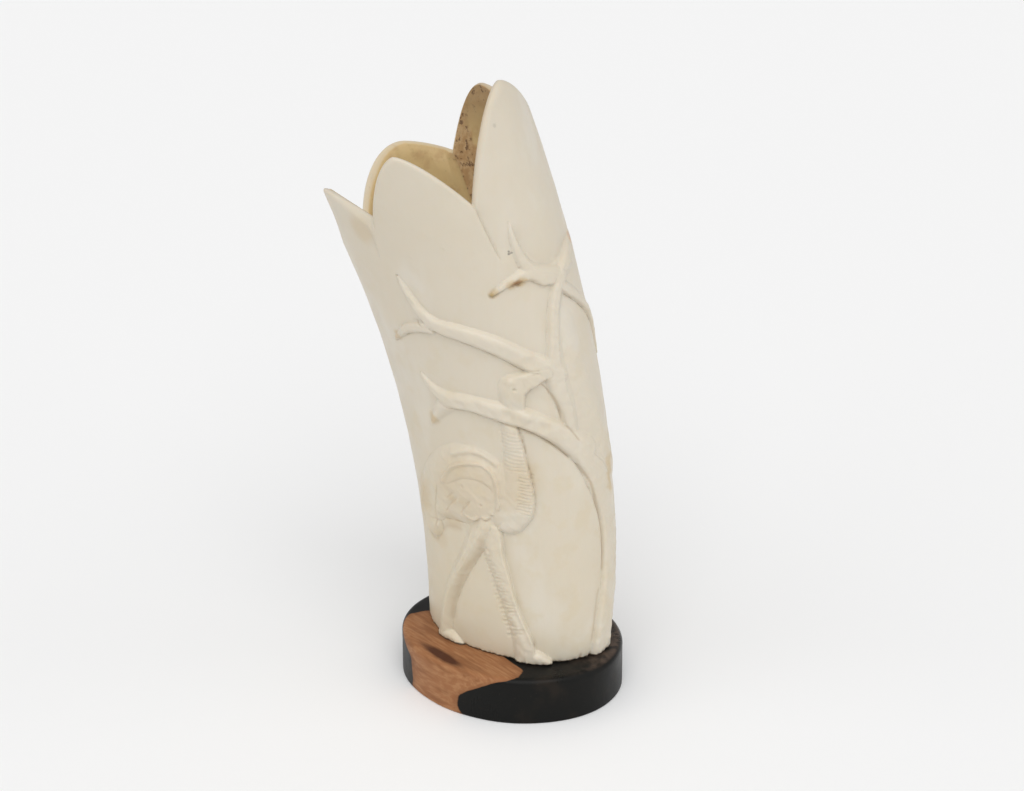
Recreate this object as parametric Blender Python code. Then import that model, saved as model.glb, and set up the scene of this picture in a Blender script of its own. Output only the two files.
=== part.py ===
"""A hollow length of ivory tusk, rim cut into petals and front carved with an ostrich under a thorn tree,
standing on an oval block of ebony.

The origin is the middle of the base's underside. The carved front faces -Y, +X is to its right, +Z is up.
"""
import math

import bmesh
import bpy
import numpy as np

MM = 0.001

# Base: an oval block, turned a little so that its long axis runs from back left to front right.
BASE_LONG = 104.8 * MM
BASE_SHORT = 91.0 * MM
BASE_HEIGHT = 21.7 * MM
BASE_TURN = math.radians(-36.2)
BASE_EDGE_RADIUS = 2.4 * MM
BASE_SEGMENTS = 96

# Tusk, in millimetres: the carving is laid out on the unrolled skin, so this part of the script keeps to them.
FOOT = 22.0
TUSK_SPAN = 268.0
TUSK_TURN = math.radians(-40.0)
FOOT_CENTRE = (2.7, 5.5)
LEAN = (11.3, -70.0, -4.0)
LEAN_BACK = -3.5
FOOT_HALF_LENGTH = 45.0
FLARE = (14.8, -18.6, 22.8)
FOOT_FLATNESS = 1.35
RIM_FLATNESS = 1.22
RIM_WALL = 3.0
FOOT_WALL = 12.0
RIM_ROUNDING = 1.2

# Rim: where two petals meet and where each petal peaks, as degrees round from the front and height.
NOTCHES = ((-35.0, 228.8), (22.5, 238.5), (107.0, 237.0), (170.5, 232.5), (234.0, 202.0))
PEAKS = ((-3.0, 259.0), (59.0, 285.5), (132.0, 266.5), (194.5, 235.5), (291.8, 235.3))
# How full the petal is on each side of its peak: 1 is a straight edge, 2 a round one, under 1 a hollow one.
FULLNESS = ((1.3, 1.75), (1.68, 1.4), (2.8, 1.55), (1.6, 1.8), (0.22, 1.5))

# Carving: rows of (round the skin, height, half width, relief), from thick end to thin end.
TREE = {
    "trunk": ((51.5, 19, 16.5, 1.8), (53, 40, 15, 1.7), (54, 60, 13.4, 1.6), (54, 86, 12.6, 1.6),
              (51, 102, 13, 1.8), (45, 115, 12, 2.2), (36, 126, 7.5, 2.4)),
    "shoulder": ((50, 108, 13, 1.6), (47, 126, 12, 1.4), (41, 142, 10, 1.5), (33, 152, 6, 2.2)),
    "root": ((37, 19, 3.6, 1.6), (37.2, 40, 2.4, 1.1), (37, 64, 1.2, 0.3)),
    "low_branch": ((36, 126, 7.5, 2.4), (26, 134.5, 5.4, 2.5), (14, 142, 5.2, 2.6), (2, 145.2, 4.8, 2.6),
                   (-11, 147.2, 4, 2.4), (-24, 147, 3.8, 2.2), (-30, 151, 2.3, 1.7), (-35, 157, 0.7, 0.6)),
    "low_twig": ((-22, 146, 4.4, 2.2), (-28, 140.6, 3.4, 1.8), (-36, 131.4, 0.9, 0.6)),
    "stem": ((33, 136, 3.6, 1.6), (32, 148, 5, 2.2), (29, 158, 6, 2.4), (28.5, 167, 5.4, 2.4),
             (33.5, 178, 4.6, 2.2), (38, 187.5, 4.0, 2.1), (44, 199, 3.6, 2.1), (49.5, 203.5, 4.0, 2.1),
             (55.5, 206.2, 5.0, 1.9), (61.7, 207.5, 6.3, 1.7), (68.5, 207.8, 7.6, 1.5), (75, 206, 8.0, 1.2)),
    "high_branch": ((28, 163.5, 5.6, 2.5), (19, 168.5, 4.8, 2.6), (8, 175.2, 4.7, 2.6), (-5, 180, 4.1, 2.5),
                    (-17, 182, 3.4, 2.3), (-23, 186, 2.5, 2.0), (-27, 195, 1.7, 1.5), (-28.3, 203.5, 0.7, 0.6)),
    "high_twig": ((-17, 181.5, 2.8, 2.0), (-27, 180, 2.6, 1.8), (-36, 176, 2.2, 1.5), (-46.5, 168.5, 0.7, 0.6)),
    "crown_branch": ((45, 202.5, 3.6, 2.0), (38, 205.3, 3.2, 2.0), (31, 208, 3.0, 1.9), (23.5, 205.3, 2.1, 1.7),
                     (17, 202, 1.6, 1.4), (12, 198.3, 0.7, 0.8)),
    "crown_twig": ((33.2, 208.6, 3.9, 1.9), (31.3, 213, 3.0, 1.7), (30.6, 218.2, 2.1, 1.4), (32, 229.8, 0.5, 0.4)),
    "drooping_twig": ((46, 199, 3.0, 1.8), (55, 193.8, 2.7, 1.8), (62, 186.5, 2.6, 1.7), (68, 176, 2.5, 1.6),
                      (71, 164, 2.2, 1.4), (72.5, 150, 0.8, 0.6)),
}
OSTRICH = {
    "body": ((-7, 104, 17, 2.6), (-20, 105, 20.6, 3.5), (-34, 100.5, 16.5, 2.9), (-44, 92, 11.5, 2.1),
             (-48.5, 83.5, 9.6, 1.8), (-47.5, 79.4, 8.6, 1.4)),
    "neck": ((-2, 95.5, 9, 2.8), (1.5, 101, 9, 3.4), (3, 109, 8.2, 3.4), (4.3, 118, 5.9, 3.0),
             (5, 128, 4.5, 2.4), (5.2, 138, 3.6, 2.0), (6.8, 147, 3.8, 1.8), (9, 154, 4.5, 2.0)),
    "head": ((8.5, 153, 5.4, 1.8), (10, 156.5, 5.6, 2.4), (15, 158.8, 4.8, 2.3), (20, 160.8, 3.9, 2.1),
             (27, 164.2, 1.8, 1.6)),
    "rear_leg": ((-14.5, 89, 6.4, 3.0), (-19.8, 80.5, 5.9, 3.4), (-27.4, 68, 4.9, 3.2), (-34.9, 55, 4.7, 3.0),
                 (-39.4, 44, 4.6, 2.9), (-42.4, 32, 4.8, 2.9), (-43.4, 24, 5.2, 2.9)),
    "rear_foot": ((-44, 22.5, 4.8, 2.7), (-38, 22.8, 3.8, 2.7), (-32.6, 21, 2.2, 2.0)),
    "front_leg": ((-11.5, 84, 5.6, 2.4), (-11.8, 75, 5.6, 2.7), (-9.2, 66, 4.8, 2.6), (-6.2, 55, 4.1, 2.5),
                  (-3.2, 46, 3.9, 2.5), (-0.3, 38, 4.3, 2.7), (2.1, 31, 4.9, 3.0), (3, 25, 5.3, 3.4)),
    "front_foot": ((2.4, 23, 4.4, 2.9), (7.8, 23.8, 4.5, 3.5), (12.4, 21.6, 3.7, 3.2)),
}
FLAT_TOP = 3.0
PATH_STEPS = 5

# Ground cut back behind the figures: (height, depth).
GROUND = ((20, 2.2), (110, 2.2), (160, 1.4), (205, 0.8), (235, 0.0))
GROUND_MIDDLE = -12.0
GROUND_REACH = 34.0

# The front petal laps over its two neighbours: lines below the notches as (round the skin, height) pairs.
LAPS = (((21.2, 238.0), (22.2, 212.0), 1.0), ((-32.0, 222.0), (-33.2, 210.0), -1.0))
LAP_DEPTH = 0.9
LAP_BLEND = 9.0

# Mesh: columns are close together on the carved front.
FRONT_SPAN = (-70.0, 84.0)
FRONT_PITCH = 1.1
BACK_PITCH = 6.0
ROW_PITCH = 1.2
STRAIGHT_TOP = 190.0
INSIDE_ROWS = 36
STEEPEST_RIM = 2.5
TUSK_TRIANGLES = 8600


def tidy_scene():
    """Remove whatever the scene holds."""
    for thing in list(bpy.data.objects):
        bpy.data.objects.remove(thing)


def finish(name, colour, roughness):
    """A plain material with one colour and roughness."""
    material = bpy.data.materials.new(name)
    material.use_nodes = True
    shader = material.node_tree.nodes["Principled BSDF"]
    shader.inputs["Base Color"].default_value = (*colour, 1.0)
    shader.inputs["Roughness"].default_value = roughness
    shader.inputs["Metallic"].default_value = 0.0
    return material


def oval_radius(angle, half_length, flatness, turn):
    """Distance from the middle of an oval to its edge in the direction of angle."""
    half_width = half_length / flatness
    along = half_width * np.cos(angle - turn)
    across = half_length * np.sin(angle - turn)
    return half_length * half_width / np.hypot(along, across)


def section(z):
    """Centre, half length and flatness of the tusk's oval section at height z."""
    t = (z - FOOT) / TUSK_SPAN
    centre_x = FOOT_CENTRE[0] + LEAN[0] * t + LEAN[1] * t**2 + LEAN[2] * t**3
    centre_y = FOOT_CENTRE[1] + LEAN_BACK * t
    half_length = FOOT_HALF_LENGTH + FLARE[0] * t + FLARE[1] * t**2 + FLARE[2] * t**3
    flatness = FOOT_FLATNESS + (RIM_FLATNESS - FOOT_FLATNESS) * t
    return centre_x, centre_y, half_length, flatness


def wall_thickness(z):
    """Thin at the rim, thick at the foot, as a tusk is."""
    t = (z - FOOT) / TUSK_SPAN
    return RIM_WALL + (FOOT_WALL - RIM_WALL) * (1.0 - t)**2


def place(angle, z, inward):
    """Point at angle from the front and height z, so far inside the skin."""
    centre_x, centre_y, half_length, flatness = section(z)
    bearing = angle - math.pi / 2
    radius = oval_radius(bearing, half_length, flatness, TUSK_TURN) - inward
    return np.stack((centre_x + radius * np.cos(bearing), centre_y + radius * np.sin(bearing), z), axis=-1)


def unrolled(angle, z):
    """Millimetres round the skin from the front line, by the oval at mid height scaled to the one at z."""
    turn = np.linspace(-math.pi, 2.0 * math.pi, 1081)
    radius = oval_radius(turn - math.pi / 2, 1.0, (FOOT_FLATNESS + RIM_FLATNESS) / 2, TUSK_TURN)
    x = radius * np.cos(turn)
    y = radius * np.sin(turn)
    length = np.concatenate(([0.0], np.cumsum(np.hypot(np.diff(x), np.diff(y)))))
    length -= np.interp(0.0, turn, length)
    half_length = section(z)[2]
    return np.interp(angle, turn, length) * half_length


def rim_height(degrees):
    """Height of the petalled rim at each angle from the front."""
    first_angle, first_height = NOTCHES[0]
    around = first_angle + (degrees - first_angle) % 360.0
    notches = NOTCHES + ((first_angle + 360.0, first_height),)
    rim = np.full_like(degrees, first_height)
    for left, right, peak, fullness in zip(notches, notches[1:], PEAKS, FULLNESS):
        for notch, power in zip((left, right), fullness):
            share = (around - peak[0]) / (notch[0] - peak[0])
            beside = (share >= 0.0) & (share <= 1.0)
            fall = np.abs(share)**power if power >= 1.0 else 1.0 - np.abs(1.0 - share)**(1.0 / power)
            petal = peak[1] - (peak[1] - notch[1]) * fall
            rim = np.where(beside, petal, rim)
    return rim


def smooth_path(points):
    """Points along a smooth curve through the given ones (Catmull-Rom)."""
    rows = [np.array(point, dtype=float) for point in points]
    rows = [2 * rows[0] - rows[1]] + rows + [2 * rows[-1] - rows[-2]]
    path = []
    for before, start, end, after in zip(rows, rows[1:], rows[2:], rows[3:]):
        for share in np.arange(PATH_STEPS) / PATH_STEPS:
            path.append(0.5 * (2 * start + (end - before) * share
                               + (2 * before - 5 * start + 4 * end - after) * share**2
                               + (3 * start - before - 3 * end + after) * share**3))
    path.append(rows[-2])
    return path


def limb_relief(points, across, up):
    """Relief of one rounded, tapering limb over the unrolled skin."""
    relief = np.zeros_like(across)
    path = smooth_path(points)
    for (u0, z0, width0, high0), (u1, z1, width1, high1) in zip(path, path[1:]):
        run = u1 - u0
        rise = z1 - z0
        share = np.clip(((across - u0) * run + (up - z0) * rise) / (run**2 + rise**2), 0.0, 1.0)
        distance = np.hypot(across - u0 - share * run, up - z0 - share * rise)
        edge = distance / (width0 + (width1 - width0) * share)
        swell = np.clip(1.0 - edge**FLAT_TOP, 0.0, None)
        relief = np.maximum(relief, (high0 + (high1 - high0) * share) * swell)
    return relief


def lap_depth(across, up):
    """How far the neighbours of the front petal drop behind its edge, just below the notches."""
    depth = np.zeros_like(across)
    for (top_across, top), (low_across, low), side in LAPS:
        share = np.clip((up - low) / (top - low), 0.0, 1.0)
        behind = (across - low_across - (top_across - low_across) * share) * side
        dip = np.clip(behind, 0.0, 1.0) * np.exp(-np.clip(behind, 0.0, None) / LAP_BLEND)
        depth = np.maximum(depth, LAP_DEPTH * share * dip)
    return depth


def carved_height(across, up):
    """How far the carved skin stands outside the plain oval, in millimetres."""
    depth = np.interp(up, [row[0] for row in GROUND], [row[1] for row in GROUND])
    ground = -depth * np.exp(-((across - GROUND_MIDDLE) / GROUND_REACH)**2)
    relief = np.zeros_like(across)
    for limbs in (TREE, OSTRICH):
        for points in limbs.values():
            relief = np.maximum(relief, limb_relief(points, across, up))
    return ground + relief - lap_depth(across, up)


def column_angles():
    """Angles of the mesh's columns: close together on the carved front, with one on each notch."""
    turn = np.linspace(-math.pi, math.pi, 721)
    middle = np.full_like(turn, FOOT + TUSK_SPAN / 2)
    length = unrolled(turn, middle)
    girth = length[-1] - length[0]
    front = np.arange(FRONT_SPAN[0], FRONT_SPAN[1], FRONT_PITCH)
    back_count = int((girth - (FRONT_SPAN[1] - FRONT_SPAN[0])) / BACK_PITCH)
    back = np.linspace(FRONT_SPAN[1], FRONT_SPAN[0] + girth, back_count, endpoint=False)
    back = np.where(back > length[-1], back - girth, back)
    angles = np.sort(np.interp(np.concatenate((front, back)), length, turn))
    for notch_angle, _ in NOTCHES:
        notch = math.radians((notch_angle + 180.0) % 360.0 - 180.0)
        angles[np.argmin(np.abs(angles - notch))] = notch
    return angles


def tusk_rows(angles):
    """Rings of points, up the outside, over the rim, down the inside and back to the start."""
    rim = rim_height(np.degrees(angles))
    length = unrolled(angles, rim)
    slope = np.abs(np.gradient(rim, length))
    steepness = np.minimum(np.hypot(1.0, np.maximum(slope, np.maximum(np.roll(slope, 1), np.roll(slope, -1)))),
                           STEEPEST_RIM)
    shoulder = rim - RIM_ROUNDING * steepness

    rows = []
    for z in np.arange(FOOT, STRAIGHT_TOP, ROW_PITCH):
        level = np.full_like(angles, z)
        rows.append(place(angles, level, -carved_height(unrolled(angles, level), level)))
    petal_rows = int((max(rim) - STRAIGHT_TOP) / ROW_PITCH)
    for share in np.linspace(0.0, 1.0, petal_rows):
        level = STRAIGHT_TOP + (shoulder - STRAIGHT_TOP) * share
        rows.append(place(angles, level, -carved_height(unrolled(angles, level), level)))
    corner = 0.3 * RIM_ROUNDING
    for inward, drop in ((corner, corner), (RIM_ROUNDING, 0.0), (RIM_WALL - RIM_ROUNDING, 0.0),
                         (RIM_WALL - corner, corner)):
        rows.append(place(angles, rim - drop * steepness, inward))
    for share in np.linspace(0.0, 1.0, INSIDE_ROWS):
        level = shoulder + (FOOT - shoulder) * share
        rows.append(place(angles, level, wall_thickness(level)))
    return rows


def build_tusk():
    """One closed skin over the whole tusk, thinned out where it is plain."""
    rows = tusk_rows(column_angles())
    columns = len(rows[0])
    mesh = bmesh.new()
    corners = [[mesh.verts.new(point * MM) for point in row] for row in rows]
    for low, high in zip(corners, corners[1:] + corners[:1]):
        for index in range(columns):
            following = (index + 1) % columns
            mesh.faces.new((low[index], low[following], high[following], high[index]))
    bmesh.ops.triangulate(mesh, faces=mesh.faces[:])
    triangles = len(mesh.faces)
    data = bpy.data.meshes.new("ivory_tusk")
    mesh.to_mesh(data)
    mesh.free()
    data.shade_smooth()
    tusk = bpy.data.objects.new("ivory_tusk", data)
    bpy.context.collection.objects.link(tusk)
    thin = tusk.modifiers.new("thin_out", "DECIMATE")
    thin.ratio = TUSK_TRIANGLES / triangles
    data.materials.append(finish("ivory", (0.72, 0.63, 0.50), 0.4))
    return tusk


def build_base():
    """An upright oval block with its top edge rounded over."""
    mesh = bmesh.new()
    bmesh.ops.create_circle(mesh, cap_ends=True, radius=0.5, segments=BASE_SEGMENTS)
    bmesh.ops.scale(mesh, vec=(BASE_LONG, BASE_SHORT, 1.0), verts=mesh.verts[:])
    grown = bmesh.ops.extrude_face_region(mesh, geom=mesh.faces[:])
    lid = [corner for corner in grown["geom"] if isinstance(corner, bmesh.types.BMVert)]
    bmesh.ops.translate(mesh, vec=(0.0, 0.0, BASE_HEIGHT), verts=lid)
    bmesh.ops.recalc_face_normals(mesh, faces=mesh.faces[:])
    weight = mesh.edges.layers.float.new("bevel_weight_edge")
    for edge in mesh.edges:
        if all(corner in lid for corner in edge.verts):
            edge[weight] = 1.0
    data = bpy.data.meshes.new("ebony_base")
    mesh.to_mesh(data)
    mesh.free()
    base = bpy.data.objects.new("ebony_base", data)
    bpy.context.collection.objects.link(base)
    base.rotation_euler.z = BASE_TURN
    rounding = base.modifiers.new("rounded_edge", "BEVEL")
    rounding.width = BASE_EDGE_RADIUS
    rounding.segments = 4
    rounding.limit_method = "WEIGHT"
    data.shade_smooth()
    data.set_sharp_from_angle(angle=math.radians(50.0))
    data.materials.append(finish("ebony", (0.02, 0.018, 0.016), 0.35))
    return base


tidy_scene()
build_base()
build_tusk()
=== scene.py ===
"""Looks of a hollow ivory tusk, its rim cut into petals and its front carved with an ostrich under a thorn
tree, standing on an oval block of ebony with a patch of sapwood.

The origin is the middle of the base's underside. The carved front faces -Y, +X is to its right, +Z is up.
"""
import math

import bpy
import numpy as np
from mathutils import Matrix, Vector


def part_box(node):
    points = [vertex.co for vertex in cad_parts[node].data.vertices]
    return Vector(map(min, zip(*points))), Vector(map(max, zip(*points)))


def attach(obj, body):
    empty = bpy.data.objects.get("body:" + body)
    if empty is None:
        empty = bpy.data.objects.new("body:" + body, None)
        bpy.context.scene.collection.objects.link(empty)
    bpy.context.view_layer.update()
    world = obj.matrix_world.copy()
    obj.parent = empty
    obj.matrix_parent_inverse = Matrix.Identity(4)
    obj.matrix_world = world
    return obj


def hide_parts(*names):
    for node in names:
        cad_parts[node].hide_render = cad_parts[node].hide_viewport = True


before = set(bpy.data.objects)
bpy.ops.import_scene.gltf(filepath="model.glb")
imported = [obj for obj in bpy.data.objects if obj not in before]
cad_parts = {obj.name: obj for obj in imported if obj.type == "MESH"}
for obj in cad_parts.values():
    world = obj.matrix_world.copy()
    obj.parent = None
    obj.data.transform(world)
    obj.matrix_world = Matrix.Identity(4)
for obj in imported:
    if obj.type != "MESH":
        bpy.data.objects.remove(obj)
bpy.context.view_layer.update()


# ------------------------------------------------------------------------------
# Ebony base. A block sawn across a branch of ebony where the black heartwood meets the brown sapwood,
# shaped to an oval, its edges rounded over by hand, sanded and waxed. The tusk is glued to its top.

BLOCK_FLATNESS = 1.152
BLOCK_TURN = math.radians(-36.2)
TOP_EDGE_RADIUS = 0.0030
FOOT_EDGE_RADIUS = 0.0009
BLOCK_COLUMNS = 220
EDGE_STEPS = 8
UNDERSIDE_INSET = 0.012
TOP_INSETS = (0.005, 0.009, 0.015, 0.024, 0.036)
HAND_SANDING = 0.00012


def oval_radius(bearing, half_length, flatness, turn):
    """Distance from the middle of an oval to its edge in the direction of bearing."""
    half_width = half_length / flatness
    along = half_width * np.cos(bearing - turn)
    across = half_length * np.sin(bearing - turn)
    return half_length * half_width / np.hypot(along, across)


def closed_skin(name, rows, capped=False):
    """A mesh through rings of points, bottom to top, each closed round, and capped or joined end to end."""
    columns = len(rows[0])
    points = np.concatenate(rows)
    ring = np.arange(columns)
    following = (ring + 1) % columns
    count = len(rows)
    faces = []
    for row in range(count - 1 if capped else count):
        low = row * columns
        high = ((row + 1) % count) * columns
        faces.append(np.stack((low + ring, low + following, high + following, high + ring), axis=1))
    quads = np.concatenate(faces).tolist()
    if capped:
        quads.append(list(range(columns))[::-1])
        quads.append(list(range((count - 1) * columns, count * columns)))
    mesh = bpy.data.meshes.new(name)
    mesh.from_pydata(points.tolist(), [], quads)
    mesh.shade_smooth()
    return mesh


def new_piece(data):
    """An object in the scene for a mesh, a lamp or a camera."""
    piece = bpy.data.objects.new(data.name, data)
    bpy.context.collection.objects.link(piece)
    return piece


block_low, block_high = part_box("ebony_base")
block_height = block_high.z - block_low.z
block_half_length = block_high.x / math.hypot(math.cos(BLOCK_TURN), math.sin(BLOCK_TURN) / BLOCK_FLATNESS)


def block_profile():
    """(inset from the oval, height) up the side of the block, round its two edges and in over its top."""
    turns = [math.pi / 2 * step / EDGE_STEPS for step in range(EDGE_STEPS + 1)]
    profile = [(UNDERSIDE_INSET, 0.0)]
    for turn in turns:
        profile.append((FOOT_EDGE_RADIUS * (1 - math.sin(turn)), FOOT_EDGE_RADIUS * (1 - math.cos(turn))))
    profile += [(0.0, block_height * share) for share in np.linspace(0.1, 0.8, 8)]
    for turn in turns:
        profile.append((TOP_EDGE_RADIUS * (1 - math.cos(turn)),
                        block_height - TOP_EDGE_RADIUS * (1 - math.sin(turn))))
    return profile + [(inset, block_height) for inset in TOP_INSETS]


def block_rows():
    """Rings of the block, with the slight waviness of hand sanding on its side."""
    bearing = np.linspace(0.0, 2 * math.pi, BLOCK_COLUMNS, endpoint=False)
    radius = oval_radius(bearing, block_half_length, BLOCK_FLATNESS, BLOCK_TURN)
    rows = []
    for inset, z in block_profile():
        wave = np.sin(5 * bearing + 1.3 + 60 * z) + 0.6 * np.sin(9 * bearing + 0.4 - 90 * z)
        reach = radius - inset - HAND_SANDING * (1.6 + wave)
        level = np.full_like(reach, z)
        rows.append(np.stack((reach * np.cos(bearing), reach * np.sin(bearing), level), axis=1))
    return rows


def new_material(name, settings):
    """A material, its tree and its Principled shader, whose own sockets are set as settings says."""
    material = bpy.data.materials.new(name)
    material.use_nodes = True
    tree = material.node_tree
    shader = tree.nodes["Principled BSDF"]
    for socket, value in settings.items():
        shader.inputs[socket].default_value = value
    return material, tree, shader


def add(tree, kind, wires=(), **settings):
    """A node with its settings, and with the sockets that wires names joined or set."""
    node = tree.nodes.new(kind)
    for key, value in settings.items():
        setattr(node, key, value)
    for socket, value in dict(wires).items():
        if isinstance(value, bpy.types.NodeSocket):
            tree.links.new(value, node.inputs[socket])
        else:
            node.inputs[socket].default_value = value
    return node


def maths(operation, first, second=0.0, clamp=False):
    """The result of a math node, in the tree of whichever value is a socket."""
    tree = next(value.id_data for value in (first, second) if isinstance(value, bpy.types.NodeSocket))
    return add(tree, "ShaderNodeMath", {0: first, 1: second}, operation=operation, use_clamp=clamp).outputs[0]


def times(first, second, clamp=False):
    """First times second."""
    return maths("MULTIPLY", first, second, clamp)


def plus(first, second, clamp=False):
    """First plus second."""
    return maths("ADD", first, second, clamp)


def spread(value, low, high, to_low=0.0, to_high=1.0, curve="SMOOTHSTEP"):
    """Value from low..high spread smoothly over to_low..to_high."""
    ends = {"From Min": low, "From Max": high, "To Min": to_low, "To Max": to_high}
    node = add(value.id_data, "ShaderNodeMapRange", {"Value": value, **ends}, interpolation_type=curve)
    return node.outputs["Result"]


def blend(share, under, over):
    """Colour over laid on colour under by share, which is a socket."""
    node = add(share.id_data, "ShaderNodeMix", data_type="RGBA")
    for socket, value in (("Factor_Float", share), ("A_Color", under), ("B_Color", over)):
        target = next(s for s in node.inputs if s.identifier == socket)
        if isinstance(value, bpy.types.NodeSocket):
            share.id_data.links.new(value, target)
        else:
            target.default_value = (*value, 1.0)
    return next(s for s in node.outputs if s.identifier == "Result_Color")


def laid(under, over, value, low, high, most=1.0):
    """Colour over laid on colour under: not at all where value is low, and by most where it is high."""
    return blend(spread(value, low, high, 0.0, most), under, over)


def noise(vector, scale, detail=2.0, roughness=0.5, distortion=0.0):
    """Noise between 0 and 1 at vector."""
    settings = {"Scale": scale, "Detail": detail, "Roughness": roughness, "Distortion": distortion}
    return add(vector.id_data, "ShaderNodeTexNoise", {"Vector": vector, **settings}).outputs["Fac"]


def place_vector(vector, turn, scale):
    """Vector turned about Z, then scaled."""
    tree = vector.id_data
    turned = add(tree, "ShaderNodeVectorRotate", {"Vector": vector, "Angle": turn}, rotation_type="Z_AXIS")
    scaled = add(tree, "ShaderNodeVectorMath", {0: turned.outputs["Vector"], 1: scale}, operation="MULTIPLY")
    return scaled.outputs["Vector"]


def curve_through(value, points):
    """Value put through a smooth curve of (input, output) points from 0 to 1."""
    node = add(value.id_data, "ShaderNodeFloatCurve", {"Value": value})
    curve = node.mapping.curves[0]
    curve.points[0].location = points[0]
    curve.points[1].location = points[-1]
    for point in points[1:-1]:
        curve.points.new(*point)
    node.mapping.update()
    return node.outputs["Value"]


def new_group(name, inputs, outputs):
    """A node group with those sockets, its inputs' inner ends and its output node."""
    group = bpy.data.node_groups.new(name, "ShaderNodeTree")
    for socket, kind in inputs.items():
        group.interface.new_socket(socket, in_out="INPUT", socket_type="NodeSocket" + kind)
    for socket in outputs:
        group.interface.new_socket(socket, in_out="OUTPUT", socket_type="NodeSocketFloat")
    return group, group.nodes.new("NodeGroupInput").outputs, group.nodes.new("NodeGroupOutput").inputs


def rubbed_polish_group():
    """A hand-rubbed polish: duller and glossier patches, faint rubbing marks and a fine unevenness."""
    inputs = {"Place": "Vector", "Glossiest": "Float", "Dullest": "Float"}
    group, given, result = new_group("rubbed_polish", inputs, ("Roughness", "Height"))
    patches = noise(given["Place"], 55.0, 4.0)
    rubbed = place_vector(given["Place"], 0.6, (1.0, 1.0, 0.12))
    marks = noise(rubbed, 1400.0, 2.0, 0.6)
    grain = noise(given["Place"], 1100.0, 3.0, 0.6)
    mixed = plus(times(patches, 0.8), times(marks, 0.2))
    roughness = spread(mixed, 0.35, 0.65, given["Glossiest"], given["Dullest"])
    group.links.new(roughness, result["Roughness"])
    group.links.new(plus(times(marks, 0.4), grain), result["Height"])
    return group


def ragged_spot_group():
    """A soft, ragged spot of a given reach about a place."""
    inputs = {"Place": "Vector", "Middle": "Vector", "Reach": "Float", "Raggedness": "Float"}
    group, given, result = new_group("ragged_spot", inputs, ("Mask",))
    away = add(group, "ShaderNodeVectorMath", {0: given["Place"], 1: given["Middle"]}, operation="DISTANCE")
    share = maths("DIVIDE", away.outputs["Value"], given["Reach"])
    ragged = noise(given["Place"], maths("DIVIDE", 1.6, given["Reach"]), 3.0, 0.6)
    shift = times(maths("SUBTRACT", ragged, 0.5), given["Raggedness"])
    group.links.new(spread(plus(share, shift), 1.0, 0.35), result["Mask"])
    return group


rubbed_polish = rubbed_polish_group()
ragged_spot = ragged_spot_group()


def placed(group, place, **given):
    """The outputs of a node group that is put in at place, with its other inputs given."""
    return add(place.id_data, "ShaderNodeGroup", {"Place": place, **given}, node_tree=group).outputs


def dress(shader, colour, roughness, relief, strength, depth):
    """Joins a surface's colour, roughness and relief, which is depth metres deep, to its shader."""
    tree = shader.id_data
    bump = add(tree, "ShaderNodeBump", {"Strength": strength, "Distance": depth, "Height": relief})
    tree.links.new(colour, shader.inputs["Base Color"])
    tree.links.new(roughness, shader.inputs["Roughness"])
    tree.links.new(bump.outputs["Normal"], shader.inputs["Normal"])


# The sapwood is a wedge of the block between two bent lines, each as (climb, turn from the front): the climb
# goes from 0 to SIDE_CLIMB up the side, and from there to 1 over the part of the top outside the tusk.
SIDE_CLIMB = 0.8
SAPWOOD_LEFT = ((0, -71), (0.42, -72), (0.57, -74), (0.64, -80), (0.70, -86), (0.76, -98),
                (0.81, -105), (0.85, -110), (0.88, -114), (1, -117))
SAPWOOD_RIGHT = ((0, -28.5), (0.14, -31.7), (0.28, -31.6), (0.41, -28.4), (0.59, -18.1), (0.72, -9.5),
                 (0.784, -1.5), (0.84, 4), (0.878, 6.4), (0.905, 4.5), (0.93, 0.4), (0.968, -6.6),
                 (1, -14))
TOP_REACH = 0.5
TURN_SPAN = 160.0
BOUNDARY_BLUR = 0.6

# The grain runs a little across the block's length; a dark knot lies along it in the sapwood's top.
GRAIN_TURN = math.radians(-50.0)
KNOT_MIDDLE = (-0.0308, -0.0254, block_height)
KNOT_HALF_LENGTH = 0.0175
KNOT_SLENDERNESS = 4.4
KNOT_DEPTH = 2.0

HEARTWOOD_BLACK = (0.0075, 0.0075, 0.0068)
HEARTWOOD_BROWN = (0.020, 0.015, 0.011)
TOP_BROWN = (0.080, 0.056, 0.042)
SAPWOOD_ORANGE = (0.30, 0.132, 0.057)
SAPWOOD_DARK = (0.17, 0.066, 0.027)
SAPWOOD_PALE = (0.38, 0.190, 0.088)
KNOT_RED = (0.080, 0.029, 0.014)


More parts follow.
